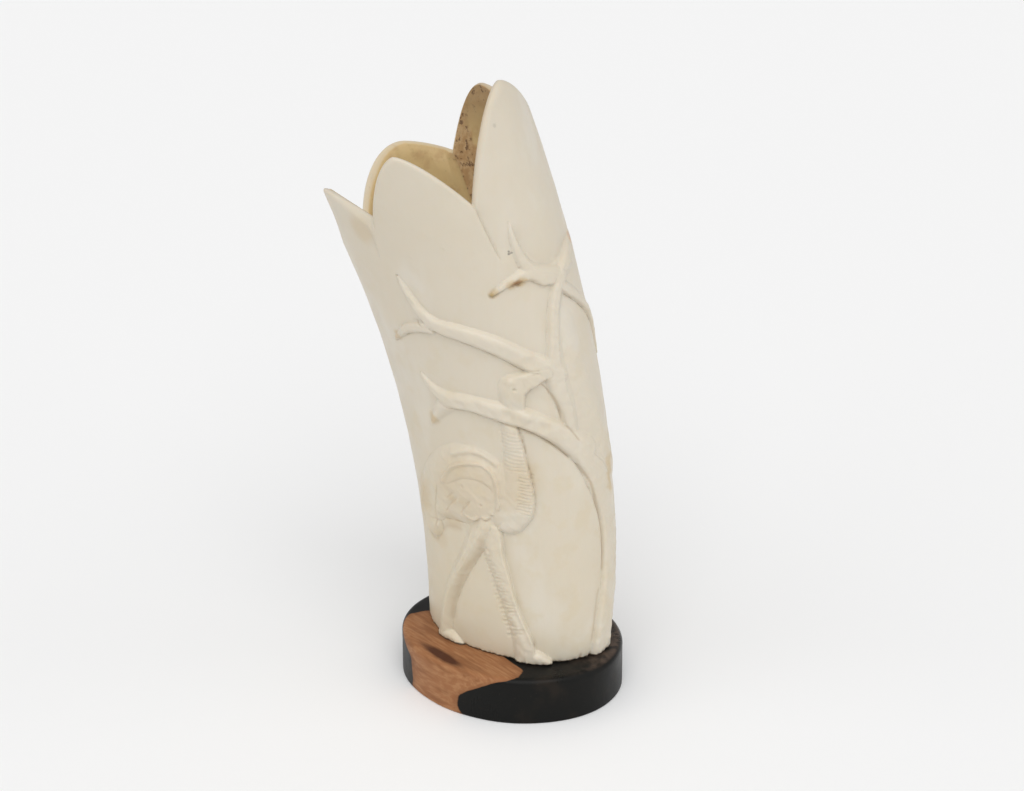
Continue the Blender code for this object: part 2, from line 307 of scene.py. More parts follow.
def ebony():
    """Black heartwood with brown streaks, orange-brown sapwood with its grain and a dark knot, waxed."""
    material, tree, shader = new_material("waxed_ebony", {"Specular IOR Level": 0.12})
    place = add(tree, "ShaderNodeTexCoord").outputs["Object"]
    parts = add(tree, "ShaderNodeSeparateXYZ", {0: place}).outputs
    height = maths("DIVIDE", parts["Z"], block_height, clamp=True)
    minus_y = times(parts["Y"], -1.0)
    turn = maths("DEGREES", maths("ARCTAN2", parts["X"], minus_y))
    along = place_vector(place, -GRAIN_TURN, (1.0, 8.0, 5.0))
    wobble = times(maths("SUBTRACT", noise(along, 60.0, 3.0), 0.5), 3.0)
    turn = plus(turn, wobble)
    flattened = place_vector(place, -BLOCK_TURN, (1.0, BLOCK_FLATNESS, 0.0))
    reach = add(tree, "ShaderNodeVectorMath", {0: flattened}, operation="LENGTH").outputs["Value"]
    top_reach = block_half_length * TOP_REACH
    inward = spread(reach, block_half_length, top_reach, 0.0, 1.0 - SIDE_CLIMB, "LINEAR")
    climb = plus(times(height, SIDE_CLIMB), inward, clamp=True)

    lines = []
    for points in (SAPWOOD_LEFT, SAPWOOD_RIGHT):
        shares = [(share, 0.5 + degrees / (2 * TURN_SPAN)) for share, degrees in points]
        line = curve_through(climb, shares)
        lines.append(times(maths("SUBTRACT", line, 0.5), 2 * TURN_SPAN))
    from_left = maths("SUBTRACT", turn, lines[0])
    from_right = maths("SUBTRACT", lines[1], turn)
    nearest = maths("MINIMUM", from_left, from_right)
    sapwood = spread(nearest, -BOUNDARY_BLUR, BOUNDARY_BLUR)

    grain = noise(along, 110.0, 6.0, 0.6, 0.4)
    fibres = noise(place_vector(place, -GRAIN_TURN - 0.12, (1.0, 18.0, 16.0)), 160.0, 4.0, 0.65)
    flecks = noise(place_vector(place, -GRAIN_TURN, (0.35, 2.2, 2.2)), 900.0, 2.0)
    clouds = noise(place, 45.0, 3.0)
    mottles = noise(place, 160.0, 5.0, 0.65)
    black = laid(HEARTWOOD_BLACK, HEARTWOOD_BROWN, clouds, 0.52, 0.72)
    black = laid(black, TOP_BROWN, flecks, 0.70, 0.78, 0.6)
    on_top = times(spread(parts["X"], 0.020, 0.046), spread(height, 0.94, 1.0))
    black = blend(times(on_top, spread(mottles, 0.34, 0.60)), black, TOP_BROWN)

    bands = noise(place_vector(place, -GRAIN_TURN, (0.7, 6.0, 4.0)), 55.0, 3.0, 0.5)
    orange = laid(SAPWOOD_ORANGE, SAPWOOD_PALE, grain, 0.40, 0.66)
    orange = laid(orange, SAPWOOD_DARK, fibres, 0.52, 0.76, 0.16)
    orange = laid(orange, SAPWOOD_DARK, bands, 0.50, 0.66, 0.45)
    orange = laid(orange, SAPWOOD_DARK, nearest, 6.0, 0.0, 0.45)
    knot_place = place_vector(place, -GRAIN_TURN, (1.0, KNOT_SLENDERNESS, KNOT_DEPTH))
    turned = Matrix.Rotation(-GRAIN_TURN, 3, "Z") @ Vector(KNOT_MIDDLE)
    knot_middle = (turned.x, turned.y * KNOT_SLENDERNESS, turned.z * KNOT_DEPTH)
    knot = placed(ragged_spot, knot_place, Middle=knot_middle, Reach=KNOT_HALF_LENGTH, Raggedness=0.4)
    orange = blend(times(knot["Mask"], 1.15, clamp=True), orange, KNOT_RED)
    colour = blend(sapwood, black, orange)

    wax = placed(rubbed_polish, place, Glossiest=0.26, Dullest=0.42)
    roughness = plus(wax["Roughness"], times(sapwood, 0.12))
    relief = plus(fibres, times(wax["Height"], 0.35))
    dress(shader, colour, roughness, relief, strength=0.12, depth=0.0004)
    return material


block = new_piece(closed_skin("oval_ebony_base", block_rows(), capped=True))
block.data.materials.append(ebony())
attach(block, "root")
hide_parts("ebony_base")


# ------------------------------------------------------------------------------
# Ivory tusk. The hollow root end of a tusk, sawn off square at the foot and cut to five petals at the rim.
# The front is carved in low relief: the ground is cut back and the figures are left standing. It is glued
# upright on the ebony. Sizes here are in millimetres: round the skin from the front line, and up.

MM = 0.001
FOOT = 22.0
TUSK_SPAN = 268.0
TUSK_TURN = math.radians(-40.0)
FOOT_CENTRE = (2.7, 5.5)
LEAN = (11.3, -70.0, -4.0)
LEAN_BACK = -3.5
FOOT_HALF_LENGTH = 45.0
FLARE = (14.8, -18.6, 22.8)
FOOT_FLATNESS = 1.35
RIM_FLATNESS = 1.22
RIM_WALL = 3.0
FOOT_WALL = 12.0

# Rim: where two petals meet and where each petal peaks, as degrees round from the front and height.
NOTCHES = ((-35, 228.8), (22.5, 238.5), (107, 237), (170.5, 232.5), (234, 202))
PEAKS = ((-3, 259), (59, 285.5), (132, 266.5), (194.5, 235.5), (291.8, 235.3))
# How full the petal is on each side of its peak: 1 is a straight edge, 2 a round one, under 1 a hollow one.
FULLNESS = ((1.3, 1.75), (1.68, 1.4), (2.8, 1.55), (1.6, 1.8), (0.22, 1.5))
# Bevels along the rim: degrees round, how far the outer edge is taken down, and the inner edge.
BEVELS = ((-126, 0.6, 0.6), (-72, 0.6, 0.3), (-68, 0.6, 0.3), (-65, 1.6, 0.3), (-54, 2.8, 0.3),
          (-46, 4, 0.4), (-41, 5.8, 0.5), (-38, 7.4, 0.6), (-34.5, 1.6, 0.8), (20, 1.3, 0.7),
          (45, 1.6, 0.7), (107, 1, 0.7), (150, 0.5, 0.5), (171, 0.6, 0.6), (195, 0.8, 0.9),
          (215, 0.7, 2.2), (234, 0.7, 1.2))

# The rim is tan over the back petals and nearly clean round the rest: degrees round, and how tan.
RIM_TAN = ((-41, 0), (21, 0), (27, 0.5), (46, 0.45), (60, 0), (100, 0), (115, 0.7),
           (200, 0.7), (214, 0.55), (232, 0.55), (240, 0))
# The inside is frayed and spotted just under the rim of the back petals: degrees round, and how much.
FRAYED = ((112, 0), (118, 1), (170, 1), (174, 0.25), (205, 0.2), (215, 0))
FRAY_DEPTH = 7.0
# A low outer bevel is rounded and narrow, a high one is a flat facet over most of the wall: drops, widths.
BEVEL_DROPS = (2.0, 4.5)
NARROW_BEVEL = 0.45
WIDE_BEVEL = 0.92

# Sides of a limb: two powers that set how square or soft it is, and the depth of the cut beside it.
CRISP = (6.0, 1.0, 0.50)
SHARP = (6.0, 1.0, 0.30)
FOOT_SIDE = (3.0, 1.0, 0.30)
ROUND = (3.0, 1.0, 0.15)
SOFT = (2.0, 2.0, 0.0)
FADING = (2.4, 1.1, 0.0)
CUT_WIDTH = 0.9
ROOT_LENGTH = 7.0
PATH_STEPS = 6
TAPER = 2.5

# Ground cut back behind the figures: (height, depth), and over it the knife's and scraper's marks.
GROUND = ((20, 2.2), (110, 2.2), (160, 1.4), (205, 0.8), (235, 0.0))
GROUND_MIDDLE = -12.0
GROUND_REACH = 34.0
KNIFE_MARKS = 0.13
SCRAPING = 0.10
CHIPPED_FOOT = 1.6

# Inside, in degrees round and heights: the crust's span and foot, the smooth lobe in it with a thin ridge,
# and the crease behind the back notch.
CRUST_SPAN = (112.0, 170.5)
CRUST_FOOT = 190.0
LOBE_EDGE = 153.5
LOBE_TOP = 258.0
LOBE_RIDGE = (141.0, 251.0)
CREASE = 171.0
CREASE_FOOT = 200.0

# Mesh: the skin is made fine on the carved front, then thinned out where it is plain.
FRONT_SPAN = (-76.0, 92.0)
FRONT_PITCH = 0.40
BACK_PITCH = 1.3
ROW_PITCH = 0.42
STRAIGHT_TOP = 190.0
OUTER_BEVEL_STEPS = (0.35, 0.7, 1.0)
INNER_BEVEL_STEPS = (0.4, 0.75)
INSIDE_ROWS = 130
INSIDE_CROWDING = 1.6
STEEPEST_RIM = 2.5
SKIN_TRIANGLES = 192000


def section(z):
    """Centre, half length and flatness of the tusk's oval section at height z."""
    t = (z - FOOT) / TUSK_SPAN
    centre_x = FOOT_CENTRE[0] + LEAN[0] * t + LEAN[1] * t**2 + LEAN[2] * t**3
    centre_y = FOOT_CENTRE[1] + LEAN_BACK * t
    half_length = FOOT_HALF_LENGTH + FLARE[0] * t + FLARE[1] * t**2 + FLARE[2] * t**3
    flatness = FOOT_FLATNESS + (RIM_FLATNESS - FOOT_FLATNESS) * t
    return centre_x, centre_y, half_length, flatness


def wall_thickness(z):
    """Thin at the rim, thick at the foot, as a tusk is."""
    t = (z - FOOT) / TUSK_SPAN
    return RIM_WALL + (FOOT_WALL - RIM_WALL) * (1.0 - t)**2


def skin_point(angle, z, inward):
    """Point at angle from the front and height z, so far inside the skin."""
    centre_x, centre_y, half_length, flatness = section(z)
    bearing = angle - math.pi / 2
    radius = oval_radius(bearing, half_length, flatness, TUSK_TURN) - inward
    return np.stack((centre_x + radius * np.cos(bearing), centre_y + radius * np.sin(bearing), z), axis=-1)


def round_lengths():
    """Angles from the front, and the length round an oval of unit size up to each."""
    turn = np.linspace(-math.pi, 2.0 * math.pi, 1081)
    radius = oval_radius(turn - math.pi / 2, 1.0, (FOOT_FLATNESS + RIM_FLATNESS) / 2, TUSK_TURN)
    x = radius * np.cos(turn)
    y = radius * np.sin(turn)
    length = np.concatenate(([0.0], np.cumsum(np.hypot(np.diff(x), np.diff(y)))))
    return turn, length - np.interp(0.0, turn, length)


ROUND_ANGLES, ROUND_LENGTHS = round_lengths()


def unrolled(angle, z):
    """Millimetres round the skin from the front line to the angle, at height z."""
    return np.interp(angle, ROUND_ANGLES, ROUND_LENGTHS) * section(z)[2]


def skin_place(across, up, stand):
    """Point in metres, at millimetres round from the front line, up, and out from the plain skin."""
    angle = np.interp(across / section(up)[2], ROUND_LENGTHS, ROUND_ANGLES)
    return tuple(skin_point(angle, np.float64(up), -stand) * MM)


def rim_height(degrees):
    """Height of the petalled rim at each angle from the front."""
    first_angle, first_height = NOTCHES[0]
    around = first_angle + (degrees - first_angle) % 360.0
    notches = NOTCHES + ((first_angle + 360.0, first_height),)
    rim = np.full_like(degrees, first_height)
    for left, right, peak, fullness in zip(notches, notches[1:], PEAKS, FULLNESS):
        for notch, power in zip((left, right), fullness):
            share = (around - peak[0]) / (notch[0] - peak[0])
            beside_peak = (share >= 0.0) & (share <= 1.0)
            fall = np.abs(share)**power if power >= 1.0 else 1.0 - np.abs(1.0 - share)**(1.0 / power)
            rim = np.where(beside_peak, peak[1] - (peak[1] - notch[1]) * fall, rim)
    return rim


def clamped(value):
    """Value held between 0 and 1."""
    return np.clip(value, 0.0, 1.0)


def smooth_path(points):
    """Points along a smooth curve through the given ones (Catmull-Rom), with the length along it added."""
    rows = [np.array(point, dtype=float) for point in points]
    rows = [2 * rows[0] - rows[1]] + rows + [2 * rows[-1] - rows[-2]]
    path = []
    for before, start, end, after in zip(rows, rows[1:], rows[2:], rows[3:]):
        for share in np.arange(PATH_STEPS) / PATH_STEPS:
            path.append(0.5 * (2 * start + (end - before) * share
                               + (2 * before - 5 * start + 4 * end - after) * share**2
                               + (3 * start - before - 3 * end + after) * share**3))
    path.append(rows[-2])
    path = np.array(path)
    runs = np.hypot(*np.diff(path[:, :2], axis=0).T)
    return np.column_stack((path, np.concatenate(([0.0], np.cumsum(runs)))))


def beside(points, across, up, reach):
    """The skin within reach of a smooth line: where it is, how far off the line (+ on the line's left),
    and the line's own values at its nearest place."""
    path = smooth_path(points)
    low = path[:, :2].min(axis=0) - reach
    high = path[:, :2].max(axis=0) + reach
    near = (across > low[0]) & (across < high[0]) & (up > low[1]) & (up < high[1])
    place = np.stack((across[near], up[near]), axis=1)
    least = np.full(len(place), np.inf)
    off = np.full(len(place), np.inf)
    values = np.zeros((len(place), path.shape[1]))
    for start, end in zip(path, path[1:]):
        run = end[:2] - start[:2]
        away = place - start[:2]
        share = clamped(away @ run / (run @ run))
        gap = np.hypot(*(away - share[:, None] * run).T)
        side = np.where(run[0] * away[:, 1] > run[1] * away[:, 0], 1.0, -1.0)
        closer = gap < least
        least[closer] = gap[closer]
        off[closer] = (gap * side)[closer]
        values[closer] = (start + share[:, None] * (end - start))[closer]
    return near, off, values, path[-1, -1]


def arc(middle, radius, first, last):
    """Places along an arc, from one direction to another, in degrees from the right."""
    turns = np.radians(np.linspace(first, last, 7))
    return [(middle[0] + radius * math.cos(turn), middle[1] + radius * math.sin(turn)) for turn in turns]


def wander(across, up, span):
    """A gentle unevenness between -1 and 1, its humps about half a span wide."""
    a = across * 2 * math.pi / span
    b = up * 2 * math.pi / span
    return np.sin(a + 1.7 * np.sin(0.61 * b)) * np.sin(0.83 * b + 1.3 * np.sin(0.47 * a) + 0.8)


class Carving:
    """How high the skin stands, and how much grime and painted shade darken its cuts, as tools go over it."""

    def __init__(self, across, up):
        self.across = across
        self.up = up
        self.height = np.zeros_like(across)
        self.grime_and_shade = np.zeros_like(across)

    def limb(self, points, left, right, crest=0.0):
        """Leaves a tapering limb standing: points are (round, up, half width, height), left and right are its
        sides, and crest is where across it it is highest, from -1 at its right side to 1 at its left."""
        widest = max(point[2] for point in points)
        near, off, values, _ = beside(points, self.across, self.up, widest + CUT_WIDTH)
        width, high, along = values[:, 2], values[:, 3], values[:, -1]
        place = off / width - crest
        from_crest = np.minimum(np.where(place > 0, place / (1 - crest), -place / (1 + crest)), 1.0)
        side = np.where((off > 0)[:, None], left, right)
        swell = (1.0 - from_crest**side[:, 0])**side[:, 1]
        cut = clamped(1.0 - (np.abs(off) - width) / CUT_WIDTH) * clamped(along / ROOT_LENGTH)
        cut *= side[:, 2] * (0.8 + 0.3 * np.sin(0.55 * along + points[0][1]))
        standing = np.abs(off) < width
        skin = self.height[near]
        self.height[near] = np.where(standing, np.maximum(skin, high * swell), skin - cut)
        # Beside a limb the cut is tinted with grime and painted shade, more strongly where it is cut deeper.
        self.grime_and_shade[near] = np.where(standing, self.grime_and_shade[near] * (skin > high * swell),
                                   np.maximum(self.grime_and_shade[near], cut / CRISP[2]))

    def line(self, points, reach, taper, least=0.0):
        """The skin within reach of a line: where it is, how far off, and a share that falls at the ends."""
        near, off, values, length = beside(points, self.across, self.up, reach)
        ends = np.clip(np.minimum(values[:, -1], length - values[:, -1]) / taper, least, 1.0)
        return near, off, ends

    def groove(self, points, width, depth):
        """Cuts a V along a line, running out at its ends."""
        near, off, ends = self.line(points, width, TAPER, 0.25)
        cut = clamped(1.0 - np.abs(off) / width) * ends
        self.height[near] -= depth * cut
        # The V is tinted with grime and painted shade, more where it is deeper.
        self.grime_and_shade[near] = np.maximum(self.grime_and_shade[near], cut * min(depth / 0.5, 1.0))

    def step(self, points, drop, fade):
        """Takes the skin down on the left of a line, less and less away from it."""
        near, off, ends = self.line(points, fade, TAPER + 0.3 * fade)
        below = clamped(off / 0.45) * clamped(1.0 - np.abs(off) / fade)**1.5
        self.height[near] -= drop * below * ends

    def ridge(self, points, width, high):
        """Leaves a rounded ridge along a line, running out at its ends."""
        near, off, ends = self.line(points, width, TAPER)
        self.height[near] += high * clamped(1.0 - (off / width)**2)**2 * ends

    def hollow(self, middle, reach, depth):
        """Scoops out an oval hollow; a negative depth leaves a swelling."""
        share = ((self.across - middle[0]) / reach[0])**2 + ((self.up - middle[1]) / reach[1])**2
        self.height -= depth * clamped(1.0 - share)**2

    def comb(self, points, span, pitch, depth, sides, slope):
        """Cuts even, nearly level grooves across a line, between two places along it and two places beside
        it; slope is how far a groove climbs for each millimetre to the right."""
        near, off, values, _ = beside(points, self.across, self.up, max(np.abs(sides)))
        along = values[:, -1]
        wave = (self.up[near] - slope * self.across[near]) / pitch
        wave += 0.12 * np.sin(1.1 * wave + 0.5 * off)
        tooth = np.abs(wave % 1.0 - 0.5) * 2.0
        lengths = clamped(np.minimum(along - span[0], span[1] - along) / pitch)
        jag = 0.5 * np.sin(4.1 * np.floor(wave))
        widths = clamped(np.minimum(off - sides[0] - jag, sides[1] + jag - off) / 0.7)
        cut = clamped(1.25 * (1.0 - tooth)) * lengths * widths
        self.height[near] -= depth * cut
        # The grooves get a light tint of grime and painted shade.
        self.grime_and_shade[near] = np.maximum(self.grime_and_shade[near], 0.3 * cut)


def carve_trunk(skin):
    """The thorn tree's broad trunk up the right side, its left edge cut sharp and its foot notched."""
    upper_trunk = ((52, 112, 14, 1.6), (49, 126, 14, 1.6), (44, 142, 14, 1.6), (41, 156, 13, 1.5),
                   (40, 170, 10, 1.2), (41, 184, 7, 0.8))
    skin.limb(upper_trunk, SOFT, SOFT)
    trunk = ((46.5, 19, 12.2, 2.4), (49.4, 40, 12.4, 1.9), (52.4, 60, 12, 1.6), (53, 86, 11.8, 1.5),
             (50.2, 102, 12.4, 1.8), (45, 115, 12, 2.3), (36, 126, 7.5, 2.5))
    skin.limb(trunk, SHARP, SOFT, crest=0.6)
    edge = ((29.6, 121.5), (33, 115.4), (35.8, 109), (38.4, 99), (40.6, 88), (41.2, 76), (40.4, 62))
    skin.groove(edge, width=0.8, depth=0.5)
    skin.groove(((38.4, 57), (36.9, 49), (35.9, 40), (34.4, 28)), width=1.6, depth=0.35)
    for across, top in ((29, 26), (34.2, 25)):
        skin.groove(((across, 19), (across, top)), width=1.3, depth=0.5)


def carve_crown(skin):
    """The tree's crown: its stem parts into a drooping, a level, an upright and a left branch."""
    crown_edge = ((31.6, 229), (31.2, 224), (31.6, 219), (33.2, 214.2), (36.8, 210.6), (42, 208.2),
                  (48, 208.4), (54, 209.6), (61, 212), (68, 213))
    skin.step(crown_edge, drop=1.1, fade=16)
    drooping = ((45, 199.5, 3.2, 2), (52, 193.2, 3, 1.8), (59.5, 186, 2.8, 1.7), (65.3, 178.6, 2.6, 1.5),
                (69.4, 169.4, 2.2, 1.2), (70.5, 158, 0.9, 0.6))
    skin.limb(drooping, (2.4, 1.2, 0.0), CRISP)
    level = ((44, 199, 3.4, 2.1), (49.5, 203.5, 4, 2.1), (55.5, 206.2, 5, 1.9), (61.7, 207.5, 6.3, 1.2),
             (68.5, 207.8, 7.6, 0.5), (75, 206, 8, 0.2))
    skin.limb(level, (4.0, 1.0, 0.1), SOFT, crest=0.35)
    upright = ((37, 204.6, 4.6, 2.1), (33.2, 208.6, 3.9, 1.9), (31.3, 213, 3, 1.7),
               (30.6, 218.2, 2.1, 1.4), (30.9, 224, 1.3, 1), (32, 229.8, 0.5, 0.4))
    skin.limb(upright, (4.0, 1.0, 0.25), (2.4, 1.0, 0.0))
    left = ((46, 203, 4.3, 2.1), (38, 205.2, 4.4, 2.1), (31.5, 207.2, 3.2, 2), (25, 205.5, 2, 1.8),
            (19.5, 203.2, 1.4, 1.4), (13.2, 199, 0.7, 0.8))
    skin.limb(left, CRISP, ROUND)
    stem = ((32.6, 134, 3.8, 1.8), (33, 145, 5.2, 2.2), (32.2, 154, 7, 2.5), (32.2, 163, 7, 2.5),
            (32.8, 170, 5, 2.5), (34.8, 178, 4.1, 2.3), (38, 188, 3.8, 2.2), (43.6, 198, 3.6, 2.2),
            (47.2, 202.4, 3, 2.1))
    skin.limb(stem, (4.5, 1.0, 0.25), (2.0, 2.4, 0.0), crest=0.35)


def carve_high_bough(skin):
    """The bough over the ostrich's head, turned up at its end, with one twig and a fork at its root."""
    twig = ((-20, 180.9, 3.2, 2.2), (-26.5, 179.7, 2.5, 1.9), (-33.5, 177.3, 2.2, 1.6),
            (-40, 172.8, 1.4, 1.2), (-45.5, 169, 0.7, 0.6))
    skin.limb(twig, CRISP, ROUND)
    bough = ((30, 162.5, 5.8, 2.7), (19, 169.3, 5, 2.8), (8, 176.2, 4.8, 2.8), (-5, 180.5, 4.1, 2.7),
             (-15, 182.4, 3.6, 2.5), (-20.6, 186.4, 2.9, 2.2), (-23.8, 192.5, 2.3, 1.9),
             (-25.7, 198, 1.7, 1.3), (-26.8, 202.3, 0.8, 0.6))
    skin.limb(bough, CRISP, ROUND)
    skin.groove(((-27, 183.6), (-23.6, 181.4), (-21.4, 180.6)), width=0.8, depth=0.5)
    skin.hollow((21.6, 168.6), (5.4, 4.6), depth=0.9)
    skin.ridge(((24.6, 167.6), (26.6, 166.6), (28.6, 165.9)), width=1.2, high=0.3)
    fork = ((21.6, 159.4), (24.6, 155.4), (26.8, 149.4), (27.8, 144.6), (27.8, 139))
    skin.groove(fork, width=0.7, depth=0.5)
    skin.hollow((19.5, 151), (8, 8), depth=0.5)


def carve_low_bough(skin):
    """The lowest bough, lumpy, in front of the ostrich's neck, with a twig hanging down."""
    twig = ((-22, 146, 4.6, 2.3), (-27.6, 141, 3.7, 1.9), (-32.6, 135.6, 2.3, 1.3),
            (-36.2, 131.4, 0.9, 0.5))
    skin.limb(twig, FADING, FADING)
    bough = ((36, 125, 7.5, 2.5), (26, 134, 5.6, 2.7), (14, 141.6, 5.4, 3.1), (2, 144.9, 4.9, 2.9),
             (-11, 147.1, 4, 2.6), (-21, 147, 3.9, 2.4), (-28, 150, 2.5, 1.9), (-33.8, 155.8, 0.8, 0.7))
    skin.limb(bough, CRISP, ROUND)
    lumps = (((12.5, 144), (4.6, 3.6), -0.8), ((5.6, 144), (3.4, 4.6), 0.9), ((19, 139), (3.4, 3.8), 0.7),
             ((-7.5, 146.8), (3.6, 3.8), 0.6), ((-16, 146), (3.6, 2.6), 0.4))
    for middle, reach, depth in lumps:
        skin.hollow(middle, reach, depth)
    skin.groove(((1.5, 140.4), (13, 136.4), (21, 130.6), (29.5, 121.4)), width=1.1, depth=0.6)
    skin.groove(((27, 138.5), (29.6, 136.8), (33.6, 129)), width=1, depth=0.45)


def carve_leading_leg(skin):
    """The walking ostrich's leading leg, on the right: combed, with a ridge down it and a clawed foot."""
    leg = ((-11.5, 84, 5.6, 2.4), (-11.8, 75, 5.6, 2.7), (-9.2, 66, 4.8, 2.6), (-6.2, 55, 4.1, 2.5),
           (-3.2, 46, 3.9, 2.5), (-0.3, 38, 4.3, 2.7), (2.1, 31, 4.9, 3), (3, 25, 5.3, 3.4))
    skin.limb(leg, (6.0, 1.0, 0.25), (2.2, 0.9, 0.10), crest=0.3)
    shin = ((-6.9, 82), (-7, 75.3), (-5.5, 69), (-3.5, 60), (-1.5, 50.5), (1.2, 43.5), (4.3, 36.5),
            (6.6, 30.5))
    skin.ridge(shin, width=1.3, high=0.55)
    combs = (((10, 53), 2.3, 0.34, (-6.5, -1), 0.3), ((17, 31), 1.7, 0.28, (-2.2, 1.4), 0.3),
             ((32, 41), 1.8, 0.38, (-2.4, 3.2), 0.25), ((44, 51), 2.2, 0.28, (-3, 2.4), 0.25))
    for span, pitch, depth, sides, slope in combs:
        skin.comb(leg, span, pitch, depth, sides, slope)
    foot = ((2.4, 23, 4.4, 2.9), (7.8, 23.8, 4.5, 3.5), (12.4, 21.6, 3.7, 3.2))
    skin.limb(foot, FOOT_SIDE, CRISP)
    skin.groove(((6.4, 32.8), (8.2, 29)), width=0.9, depth=0.5)


def carve_body(skin):
    """The ostrich's body with its drooping tail to the left, and the trailing leg from under it."""
    body = ((-7, 104, 17, 2.6), (-20, 105, 20.6, 3.5), (-34, 100.5, 16.5, 2.9), (-46.5, 92, 11, 2.5),
            (-51, 83.5, 9.4, 2.5), (-50.4, 79.4, 8.2, 2.2))
    skin.limb(body, (3.2, 1.0, 0.5), ROUND)
    leg = ((-14.5, 89, 6.4, 3), (-19.8, 80.5, 5.9, 3.4), (-27.4, 68, 4.9, 3.2), (-35.2, 55, 4.6, 3),
           (-40.2, 44, 4.4, 2.9), (-43.2, 32, 4.5, 2.9), (-44, 24, 5, 2.9))
    skin.limb(leg, (1.1, 0.8, 0.3), (1.8, 1.3, 0.0), crest=0.15)
    calf = ((-15.7, 82), (-19.3, 73), (-25.8, 64.6), (-30.8, 56.3), (-34.9, 47.5), (-37.6, 40.7),
            (-38.9, 31))
    # A wide, shallow groove down the trailing leg's right facet; its tint darkens that facet as grime and
    # painted shade.
    skin.groove(calf, width=3.2, depth=0.3)
    skin.groove(((-16.9, 77), (-13.4, 76), (-13.2, 73.2), (-16.4, 72.6)), width=1.2, depth=0.25)
    foot = ((-44, 22.5, 4.8, 2.7), (-38, 22.8, 3.8, 2.7), (-32.6, 21, 2.2, 2))
    skin.limb(foot, FOOT_SIDE, CRISP)
    # Grooves under the tail and along the belly; their tint and two tan spots paint the shade under the body.
    skin.groove(((-57, 73.6), (-53.4, 70.4), (-49, 69.8), (-45, 72)), width=1.6, depth=0.4)
    skin.groove(((-43.4, 75.4), (-39.4, 79.8), (-33, 81.6), (-27.4, 81)), width=3.2, depth=0.3)


def carve_wing_and_tail(skin):
    """The shoulder, the folded wing with its long and short feathers, and the lines of tail and thigh."""
    skin.ridge(((-28, 119.8), (-17.5, 123.8), (-9.5, 122.8), (-3, 118.6)), width=2.4, high=0.8)
    behind_wing = ((-29, 114.6), (-23.5, 118.8), (-17, 121), (-10.5, 120.2), (-5, 116.6))
    skin.ridge(behind_wing, width=2.6, high=-0.65)
    wing = ((-34.5, 103.5), (-28.2, 112.3), (-23.4, 115.9), (-17.3, 118), (-12, 118.4), (-8.4, 116.6),
            (-6.4, 113.2), (-5.7, 108), (-6.2, 101), (-7.4, 96))
    skin.ridge(wing, width=1.4, high=1)
    skin.step(wing, drop=-0.45, fade=7)
    short_feathers = ((-32.5, 103.6), (-24.9, 108.3), (-20.3, 110.2), (-14, 110.4), (-9.3, 108),
                      (-7.6, 104.5))
    skin.step(short_feathers[::-1], drop=0.5, fade=8)
    skin.groove(short_feathers, width=0.7, depth=0.25)
    long_feathers = (((-34.6, 95.6), (-31, 99), (-27.6, 101.6)),
                     ((-36.6, 88.2), (-31.5, 94.2), (-25.8, 99.8)),
                     ((-27.6, 90), (-22.8, 95.6), (-18.4, 100.4)))
    for feather in long_feathers:
        skin.step(feather, drop=0.8, fade=6)
        skin.groove(feather, width=0.9, depth=0.35)
    for middle in ((-23.1, 105.6), (-14.6, 98.3)):
        skin.hollow(middle, (1, 1), depth=0.7)
    curls = (((-20.6, 93.6), 4.8, 340, 190), ((-13.8, 94), 3.2, 350, 215), ((-9.8, 96.2), 2.4, 320, 225))
    for middle, radius, first, last in curls:
        skin.ridge(arc(middle, radius - 0.9, first, last), width=1.4, high=0.7)
        skin.step(arc(middle, radius, first, last), drop=0.8, fade=4)
        skin.groove(arc(middle, radius, first, last), width=0.8, depth=0.4)
    skin.groove(((-37.6, 103), (-41.8, 90), (-45.4, 76)), width=1, depth=0.35)
    skin.groove(((-48.5, 98), (-53, 86), (-53.2, 77)), width=0.9, depth=0.25)
    skin.ridge(((-39.8, 92), (-42, 84), (-44.4, 76)), width=1.8, high=0.7)
    skin.ridge(((-21.5, 86), (-24.6, 76), (-29.8, 66.5), (-33.2, 61)), width=1.2, high=0.3)


def carve_neck_and_head(skin):
    """The ostrich's combed neck, held upright, and its small head, the beak to the right."""
    neck = ((-3, 94.8, 9.6, 3.2), (0.8, 100, 9.5, 3.6), (2.8, 108, 8.2, 3.6), (4.2, 118, 5.9, 3.2),
            (5, 128, 4.6, 2.6), (5.3, 138, 3.6, 2.1), (6.6, 146, 3.9, 2))
    skin.limb(neck, (2.6, 1.0, 0.15), (4.5, 1.0, 0.5), crest=-0.15)
    combs = (((23, 44), 1.75, 0.34, (-5.2, 5.2), -0.05), ((5, 24), 1.6, 0.46, (-7.8, -0.6), -0.2))
    for span, pitch, depth, sides, slope in combs:
        skin.comb(neck, span, pitch, depth, sides, slope)
    skin.ridge(((7.6, 128), (8.4, 118), (9.6, 110), (8.6, 101), (5.4, 93.6)), width=1.3, high=0.3)
    head = ((8.6, 147, 4.9, 2.1), (9.2, 153.4, 5.8, 2.8), (10.8, 156.9, 5.8, 2.9), (13.2, 158.4, 5, 2.7))
    skin.limb(head, ROUND, CRISP)
    beak = ((11, 158.2, 4.6, 2.8), (17, 160.2, 4.2, 2.7), (22.5, 162, 2.9, 2.5), (25.4, 163, 2, 2.4))
    skin.limb(beak, SHARP, (6.0, 1.0, 0.35))
    skin.groove(((17, 162.6), (21, 163.4), (24, 163.9)), width=0.7, depth=0.3)
    skin.hollow((8.8, 160.2), (3.4, 2.2), depth=-0.4)
    skin.hollow((10.5, 156.6), (1.1, 1), depth=0.9)
    skin.groove(((14.2, 161.4), (14.9, 158.8), (14.4, 156.4)), width=0.9, depth=0.2)


